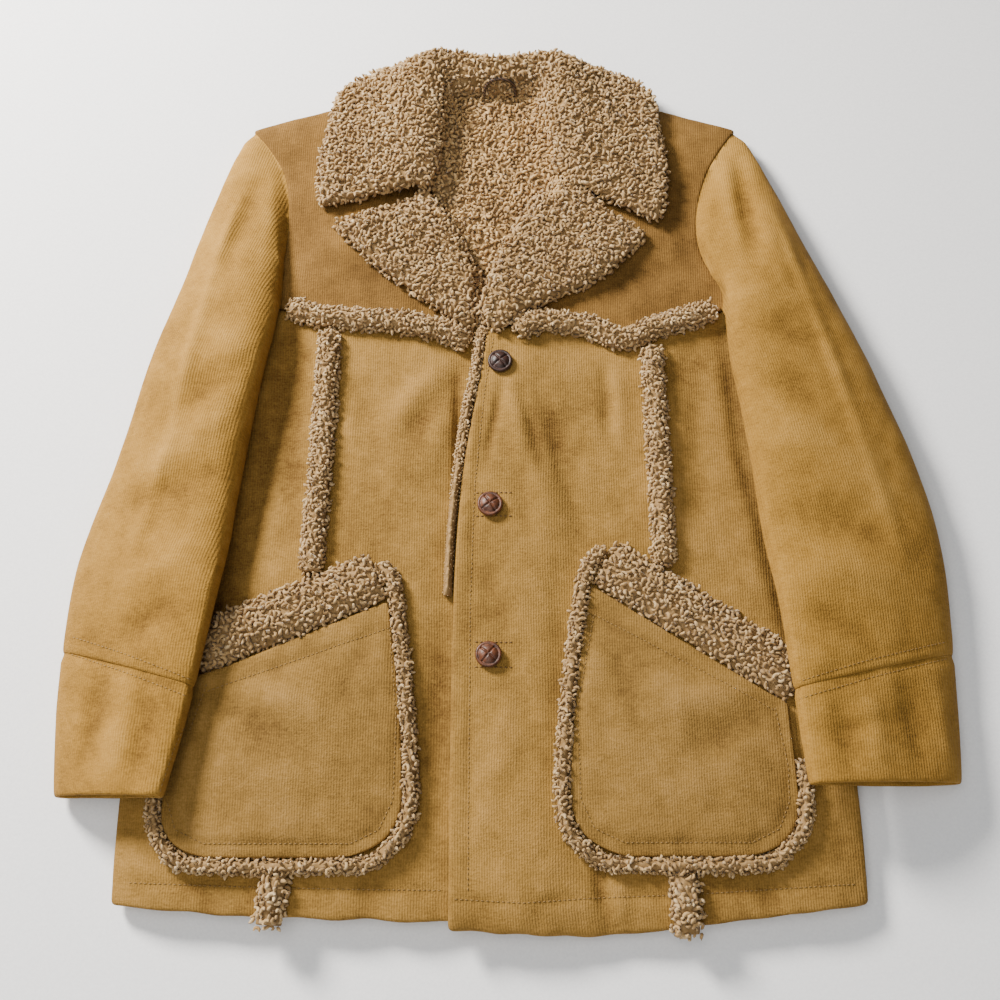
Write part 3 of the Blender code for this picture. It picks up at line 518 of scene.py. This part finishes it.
def curl_shape(turn, radius, rise):
    """One tuft: a circle of yarn spun into part of a climbing loop, and drawn in at both ends."""
    bm = bmesh.new()
    stand = Matrix.Translation((radius, 0, 0)) @ Matrix.Rotation(math.pi / 2, 4, "X")
    first = bmesh.ops.create_circle(bm, cap_ends=False, segments=5, radius=CURL_YARN, matrix=stand)["verts"]
    spun = bmesh.ops.spin(
        bm, geom=first + bm.edges[:], cent=(0, 0, 0), axis=(0, 0, 1), dvec=(0, 0, rise / CURL_STEPS),
        angle=turn, steps=CURL_STEPS,
    )
    last = [v for v in spun["geom_last"] if isinstance(v, bmesh.types.BMVert)]
    bmesh.ops.contextual_create(bm, geom=first)
    bmesh.ops.contextual_create(bm, geom=last)
    bmesh.ops.recalc_face_normals(bm, faces=bm.faces[:])
    for v in bm.verts:
        lean = math.atan2(v.co.y, v.co.x)
        t = (lean % (2 * math.pi) if lean > -0.3 or turn > math.pi else 0.0) / turn
        middle = Vector((radius * math.cos(lean), radius * math.sin(lean), rise * t))
        v.co = middle.lerp(v.co, CURL_ENDS + (1 - CURL_ENDS) * math.sin(math.pi * min(max(t, 0.0), 1.0)))
    centre = (-radius * math.cos(turn / 2), -radius * math.sin(turn / 2), -rise / 2)
    bmesh.ops.translate(bm, verts=bm.verts[:], vec=centre)
    mesh = bpy.data.meshes.new("curl")
    bm.to_mesh(mesh)
    bm.free()
    mesh.shade_smooth()
    mesh.attributes.new("shade", "FLOAT", "POINT")
    return mesh


CROWDING = 3.2


def tuft_places(mesh, spacing, seed, lowest):
    """Points and normals spread over the outer side of a piece, no two closer than the spacing."""
    chance = np.random.default_rng(seed)
    mesh.calc_loop_triangles()
    points = vertex_array(mesh, "co")
    corners = np.empty(len(mesh.loop_triangles) * 3, dtype=np.int32)
    mesh.loop_triangles.foreach_get("vertices", corners)
    a, b, c = (points[corners.reshape(-1, 3)[:, i]] for i in range(3))
    cross = np.cross(b - a, c - a)
    area = np.linalg.norm(cross, axis=1) / 2
    normal = cross / np.maximum(area[:, None] * 2, 1e-12)
    weight = np.where(normal[:, 2] > lowest, area, 0)
    count = int(weight.sum() / spacing ** 2 * CROWDING)
    picked = chance.choice(len(area), size=count, p=weight / weight.sum())
    u, v = chance.random(count), chance.random(count)
    over = u + v > 1
    u[over], v[over] = 1 - u[over], 1 - v[over]
    spots = a[picked] + (b - a)[picked] * u[:, None] + (c - a)[picked] * v[:, None]
    cells = {}
    kept = []
    for spot, way in zip(spots.tolist(), normal[picked].tolist()):
        key = tuple(int(s // spacing) for s in spot)
        near = (
            other
            for dx in (-1, 0, 1) for dy in (-1, 0, 1) for dz in (-1, 0, 1)
            for other in cells.get((key[0] + dx, key[1] + dy, key[2] + dz), ())
        )
        if all(math.dist(spot, other) >= spacing for other in near):
            cells.setdefault(key, []).append(spot)
            kept.append((Vector(spot), Vector(way)))
    return kept


curl_shapes = [
    curl_shape(math.radians(160), 0.0027, 0.0010),
    curl_shape(math.radians(210), 0.0023, 0.0014),
    curl_shape(math.radians(250), 0.0019, 0.0018),
    curl_shape(math.radians(125), 0.0034, 0.0007),
]
curl_points = [vertex_array(shape, "co") for shape in curl_shapes]


# Chances of the tufts: how far they lean, in radians, and their tone, from the root colour at 0 to the tip
# colour at 1. On top of this tone each tuft's tip is painted paler and its root darker, as light and shade in
# the pile.
CURL_LEAN = 0.75
CURL_SHADE, SHADE_SPREAD, TIP_LIGHT_ROOT_SHADE = 0.38, 0.11, 0.22
THINNEST = 0.30


def curls(name, places, material, seed, size=1.0, brightness=0.0, taper=None):
    """All the tufts of a piece in one mesh, each turned, sized and toned by chance, its tip painted paler and
    its root darker as light and shade.
    """
    chance = random.Random(seed)
    bm = bmesh.new()
    for spot, way in places:
        kind = chance.randrange(len(curl_shapes))
        grow = size * chance.uniform(0.8, 1.25)
        if taper:
            grow *= min(max((spot.y - taper[0]) / (taper[1] - taper[0]), THINNEST), 1.0)
        tilt = Euler((chance.gauss(0, CURL_LEAN), chance.gauss(0, CURL_LEAN), chance.uniform(0, 2 * math.pi)))
        turned = way.to_track_quat("Z", "Y").to_matrix() @ tilt.to_matrix()
        middle = spot + way * (CURL_YARN * grow * chance.uniform(0.6, 1.5))
        moved = curl_points[kind] @ (np.array(turned) * grow).T
        out = moved @ np.array(way)
        shade = CURL_SHADE + brightness + chance.gauss(0, SHADE_SPREAD)
        # Painted light and shade: the part of a tuft that stands out from the ground is made paler, the part
        # near the ground darker.
        shade = shade + np.clip(out / (2.4 * CURL_YARN), -1, 1) * TIP_LIGHT_ROOT_SHADE
        shape = curl_shapes[kind]
        shape.vertices.foreach_set("co", (moved + np.array(middle)).astype(np.float32).ravel())
        shape.attributes["shade"].data.foreach_set("value", shade.astype(np.float32))
        bm.from_mesh(shape)
    mesh = bpy.data.meshes.new(name)
    bm.to_mesh(mesh)
    bm.free()
    return add_piece(name, mesh, material)


GROUND_WAVES = (45, 0.0012)
COLLAR_SEAM_HALF = 0.095


def pile_piece(
    node, ground, yarn, seed, lift=front_lay, lowest=0.0, edge=0.30, spacing=CURL_SPACING,
    halves=False, brightness=0.0, size=1.0, meets=(), reach=0.016, taper=None,
):
    """A piece of pile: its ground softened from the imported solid, and its tufts on the ground's outer side."""
    mesh = soften(node, edge, 2)
    points = vertex_array(mesh, "co")
    points[:, 2] += lift(points) if lift else 0.0
    points[:, 2] += rumple(points, *GROUND_WAVES, seed)
    close_seam(points, meets, reach, COLLAR_SEAM_HALF)
    mesh.vertices.foreach_set("co", points.ravel())
    mesh.update()
    faces = [p.vertices[:] for p in mesh.polygons]
    piece_trees[node + "_ground"] = BVHTree.FromPolygons(points.tolist(), faces)
    places = tuft_places(mesh, spacing, seed, lowest)
    piece = dress(node, mesh, node + "_ground", ground)
    parts = [("", places)]
    if halves:
        right = [p for p in places if p[0].x < 0]
        parts = [("_right", right), ("_left", [p for p in places if p[0].x >= 0])]
    tufts = [
        curls(node + "_tufts" + end, spots, yarn, seed + 1, size, brightness, taper) for end, spots in parts
    ]


ground = pile_ground("pile_ground", "#A08259")
pale_yarn = curl_yarn("pile_yarn", "#70512A", "#A68554", "#D6BC90")
lining_yarn = curl_yarn("lining_yarn", "#6F4F28", "#B28E58", "#DCBB84")
pile_piece(
    "collar", ground, pale_yarn, 61, lift=None,
    lowest=-0.3, edge=0.25, halves=True, brightness=0.03,
)
pile_piece(
    "neck_lining", ground, lining_yarn, 51, lift=None, lowest=0.3,
    meets=("collar_ground",), reach=0.024,
)
for side, seed, lapel, mouth, over_yoke, over_seam, tail in (
    ("right", 70, (0.15, 0.16, 0.0120), (0.19, 0.046), (0.025, 0.20), (0.024, 0.25), (0.026, 0.044)),
    ("left", 80, (0.17, 0.18, 0.0150), (0.205, 0.046), (0.025, 0.225), (0.024, 0.225), (0.026, 0.050)),
):
    pile_piece(
        "lapel_" + side, ground, pale_yarn, seed, lowest=-0.2,
        meets=("collar_ground",),
    )
    pile_piece("pocket_cuff_" + side, ground, pale_yarn, seed + 1)
    pile_piece(
        "pocket_edge_" + side, ground, pale_yarn, seed + 2, brightness=0.04,
        spacing=TRIM_SPACING, size=0.85,
    )
    pile_piece(
        "yoke_trim_" + side, ground, pale_yarn, seed + 3,
        brightness=0.06, spacing=TRIM_SPACING, size=0.88,
    )
    pile_piece(
        "seam_trim_" + side, ground, pale_yarn, seed + 4, brightness=0.06,
        spacing=TRIM_SPACING, size=0.88,
    )
    pile_piece("hem_tail_" + side, ground, pale_yarn, seed + 5, lowest=-0.2, brightness=0.06)
pile_piece(
    "front_edge_trim", ground, pale_yarn, 95, spacing=0.0029,
    size=0.66, brightness=0.10, taper=(-0.095, -0.010),
)


ABOVE_ALL = 0.2


def highest(trees, x, y):
    """The highest point of these pieces at this place, or None."""
    hits = [tree.ray_cast(Vector((x, y, ABOVE_ALL)), Vector((0, 0, -1)))[0] for tree in trees]
    return max((h for h in hits if h is not None), key=lambda h: h.z, default=None)


def infill(name, yarn, seed, spots, brightness=0.0):
    """Tufts that close the corner where pieces of pile are sewn together: x, y and radius of each patch."""
    chance = random.Random(seed)
    places = []
    for x, y, radius in spots:
        for _ in range(int(CROWDING * (radius / CURL_SPACING) ** 2) + 3):
            angle, away = chance.uniform(0, 2 * math.pi), radius * math.sqrt(chance.random())
            p = Vector((x + away * math.cos(angle), y + away * math.sin(angle)))
            spot = highest(piece_trees.values(), p.x, p.y)
            if spot is not None:
                places.append((spot, Vector((0, 0, 1))))
    curls(name, places, yarn, seed, 1.0, brightness)


NECK_CORNERS = [(-0.069, 0.243, 0.007), (0.046, 0.262, 0.007), (0.050, 0.279, 0.009)]
LAPEL_POINT = [(-0.0265, 0.177, 0.007), (-0.0265, 0.166, 0.007), (-0.0265, 0.154, 0.006)]
FRONT_CORNER = [(-0.022, 0.122, 0.008), (-0.0245, 0.113, 0.006)]
infill("neck_corner_tufts", lining_yarn, 97, NECK_CORNERS)
# The tufts at the lapels' point are made darker: painted shadow in the V where the lapels meet.
infill("lapel_point_shadow_tufts", lining_yarn, 98, LAPEL_POINT, -0.18)
infill("front_edge_tufts", pale_yarn, 99, FRONT_CORNER, 0.06)

# Buttons: moulded to look like knotted leather, a rim round a low dome with a cross pressed into it.
# The top one is nearly black and the others are chestnut. Each is sewn on through its shank.
BUTTON_PROFILE = [(0.0, 0.0), (0.0100, 0.0), (0.0115, 0.0018), (0.0115, 0.0034), (0.0104, 0.0048),
                  (0.0092, 0.0046), (0.0086, 0.0044), (0.0078, 0.0052), (0.0060, 0.0066), (0.0040, 0.0073),
                  (0.0020, 0.0075), (0.0, 0.0075)]
DOME_FOOT, DOME_RADIUS = 0.0040, 0.0088
CROSS_WIDTH, CROSS_DEPTH = 0.0008, 0.0013


def leather_look(name, dark, light):
    """Moulded resin with a leather finish: fine grain, a dull gloss, and paler and darker patches by chance."""
    material, tree, shader, place = new_finish(name)
    grain = put(tree, "TexVoronoi", {"Vector": place, "Scale": 1600.0}).outputs["Distance"]
    stain = put(tree, "TexNoise", {"Vector": place, "Scale": 220.0, "Detail": 4.0}).outputs["Fac"]
    ramp = put(tree, "ValToRGB", {"Fac": stain})
    colour_stops(ramp, [(0.35, dark), (0.7, light)])
    bump = put(tree, "Bump", {"Height": grain, "Strength": 0.25, "Distance": 0.0003})
    tree.links.new(ramp.outputs["Color"], shader.inputs["Base Color"])
    tree.links.new(bump.outputs["Normal"], shader.inputs["Normal"])
    shader.inputs["Roughness"].default_value = 0.46
    shader.inputs["IOR"].default_value = 1.5
    return material


def button(node, material, turn):
    """A button spun from its profile, with its cross pressed in at this turn."""
    low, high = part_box(node)
    centre = Vector(((low[0] + high[0]) / 2, (low[1] + high[1]) / 2, low[2]))
    bm = bmesh.new()
    outline = [bm.verts.new((r, 0, z)) for r, z in BUTTON_PROFILE]
    edges = [bm.edges.new(pair) for pair in zip(outline, outline[1:])]
    bmesh.ops.spin(
        bm, geom=outline + edges, cent=(0, 0, 0), axis=(0, 0, 1), angle=2 * math.pi, steps=48, use_merge=True
    )
    bmesh.ops.remove_doubles(bm, verts=bm.verts[:], dist=0.00001)
    bmesh.ops.subdivide_edges(bm, edges=bm.edges[:], cuts=1, use_grid_fill=True)
    for v in bm.verts:
        if v.co.z > DOME_FOOT and v.co.xy.length < DOME_RADIUS:
            along = v.co.xy @ Matrix.Rotation(turn, 2)
            groove = min(abs(along.x), abs(along.y)) / CROSS_WIDTH
            v.co.z -= CROSS_DEPTH * math.exp(-groove * groove)
    bmesh.ops.recalc_face_normals(bm, faces=bm.faces[:])
    bmesh.ops.translate(bm, verts=bm.verts[:], vec=centre)
    mesh = bpy.data.meshes.new(node + "_moulding")
    bm.to_mesh(mesh)
    bm.free()
    mesh.shade_smooth()
    dress(node, mesh, node + "_moulding", material)


black_brown = leather_look("dark_button", "#1E100C", "#3E241B")
chestnut = leather_look("chestnut_button", "#3A1F12", "#6B3C22")
button("button_top", black_brown, math.radians(40))
button("button_middle", chestnut, math.radians(35))
button("button_bottom", chestnut, math.radians(50))

# Hanger loop: a twisted cord sewn at both ends into the neck seam.
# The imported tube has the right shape, so it only gets its twist.
cord_finish, cord_tree, cord_shader, cord_place = new_finish("twisted_cord")
twist = {"Vector": cord_place, "Scale": 140.0, "Distortion": 1.5}
ply = put(cord_tree, "TexWave", twist, bands_direction="DIAGONAL")
cord_ramp = put(cord_tree, "ValToRGB", {"Fac": ply.outputs["Fac"]})
colour_stops(cord_ramp, [(0.2, "#1F130A"), (0.9, "#5A3D24")])
cord_bump = put(cord_tree, "Bump", {"Height": ply.outputs["Fac"], "Strength": 0.6, "Distance": 0.0005})
cord_tree.links.new(cord_ramp.outputs["Color"], cord_shader.inputs["Base Color"])
cord_tree.links.new(cord_bump.outputs["Normal"], cord_shader.inputs["Normal"])
cord_shader.inputs["Roughness"].default_value = 0.6
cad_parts["hanger_loop"].material_slots[0].material = cord_finish

# Sewing: tan thread in even stitches along the hem, the placket, the cuff seams and the pockets,
# and darker bars at the ends of the two lower buttonholes.
STITCH_LENGTH = 0.0030
STITCH_STEP = 0.0040
MOST_CLIMB = 0.004


def thread(name, code):
    """Spun polyester thread: a little glossier than the cloth, twisted."""
    material, tree, shader, place = new_finish(name)
    twist = put(tree, "TexNoise", {"Vector": place, "Scale": 1200.0, "Detail": 1.0}).outputs["Fac"]
    ramp = put(tree, "ValToRGB", {"Fac": twist})
    colour_stops(ramp, [(0.2, "#5C421C"), (0.8, code)])
    tree.links.new(ramp.outputs["Color"], shader.inputs["Base Color"])
    shader.inputs["Roughness"].default_value = 0.6
    return material


def stitches(name, lines, material, thick=0.00045):
    """Stitches laid on the cloth along each line, with none where the cloth steps up or down."""
    bm = bmesh.new()
    for line in lines:
        for start, end in zip(line, line[1:]):
            start, end = Vector(start), Vector(end)
            count = max(int((end - start).length / STITCH_STEP), 1)
            for i in range(count):
                p = start.lerp(end, i / count)
                q = start.lerp(end, (i + STITCH_LENGTH / STITCH_STEP) / count)
                a, b = highest(cloth_trees, *p), highest(cloth_trees, *q)
                if a is None or b is None or abs(a.z - b.z) > MOST_CLIMB:
                    continue
                way = (b - a).to_track_quat("X", "Z").to_matrix().to_4x4()
                size = Matrix.Diagonal(((b - a).length / 2, thick, thick, 1))
                at = Matrix.Translation((a + b) / 2 + Vector((0, 0, thick * 0.5)))
                bmesh.ops.create_icosphere(bm, subdivisions=1, radius=1.0, matrix=at @ way @ size)
    mesh = bpy.data.meshes.new(name)
    bm.to_mesh(mesh)
    bm.free()
    mesh.shade_smooth()
    add_piece(name, mesh, material)


tan_thread = thread("tan_thread", "#9A7A42")
dark_thread = thread("buttonhole_thread", "#6B4A22")
stitches("hem_sewing", HEM_SEWING, tan_thread)
stitches("placket_sewing", PLACKET_SEWING, tan_thread)
stitches("cuff_sewing", CUFF_SEWING, tan_thread)
stitches("pocket_sewing", POCKET_SEWING, tan_thread)
BUTTONHOLES = [
    [(-0.030, -0.0555), (0.004, -0.0555)],
    [(-0.030, -0.0775), (0.004, -0.0775)],
    [(-0.030, -0.1925), (0.004, -0.1925)],
    [(-0.030, -0.2145), (0.004, -0.2145)],
]
stitches("buttonhole_sewing", BUTTONHOLES, dark_thread, 0.0006)

# Setting: a pale plain floor, a soft window-like light from the upper left, and the camera of the photo:
# above the hem, tilted 20 degrees off the vertical towards the collar.
floor_mesh = bpy.data.meshes.new("floor")
floor_bm = bmesh.new()
just_below = Matrix.Translation((0, 0, -0.0005))
bmesh.ops.create_grid(floor_bm, x_segments=1, y_segments=1, size=4.0, matrix=just_below)
floor_bm.to_mesh(floor_mesh)
floor_bm.free()
floor = bpy.data.objects.new("floor", floor_mesh)
bpy.context.scene.collection.objects.link(floor)
paper, paper_tree, paper_shader, paper_place = new_finish("pale_floor")
paper_grain = put(paper_tree, "TexNoise", {"Vector": paper_place, "Scale": 420.0, "Detail": 1.0})
paper_ramp = put(paper_tree, "ValToRGB", {"Fac": paper_grain.outputs["Fac"]})
colour_stops(paper_ramp, [(0.2, "#F1F1F3"), (0.8, "#FBFBFC")])
paper_tree.links.new(paper_ramp.outputs["Color"], paper_shader.inputs["Base Color"])
paper_shader.inputs["Roughness"].default_value = 0.9
floor_mesh.materials.append(paper)


def area_light(name, place, aim, size, power, code):
    """A round soft light of this size and power, turned to its aim."""
    light = bpy.data.lights.new(name, "AREA")
    light.shape = "DISK"
    light.size = size
    light.energy = power
    light.color = linear(code)[:3]
    lamp = bpy.data.objects.new(name, light)
    lamp.location = place
    lamp.rotation_euler = (Vector(aim) - Vector(place)).to_track_quat("-Z", "Y").to_euler()
    bpy.context.scene.collection.objects.link(lamp)


area_light("window_light", (-1.40, 1.15, 1.15), (0.0, 0.0, 0.0), 0.6, 150, "#FFFAF2")
area_light("ceiling_light", (-0.5, -0.2, 2.2), (0.0, 0.0, 0.0), 1.6, 20, "#FFFDF8")
area_light("front_light", (-0.2, -1.7, 1.2), (0.0, -0.3, 0.0), 1.2, 12, "#FFFDF8")
world = bpy.data.worlds.new("studio")
world.use_nodes = True
sky = world.node_tree.nodes["Background"]
sky.inputs["Color"].default_value = linear("#DDE3EA")
sky.inputs["Strength"].default_value = 0.23
bpy.context.scene.world = world

camera_data = bpy.data.cameras.new("camera")
camera_data.sensor_width = 36.0
camera_data.lens = 43.2
camera = bpy.data.objects.new("camera", camera_data)
camera.location = (-0.0080, -0.4325, 1.05)
camera.rotation_euler = (math.radians(20), 0, 0)
bpy.context.scene.collection.objects.link(camera)
bpy.context.scene.camera = camera
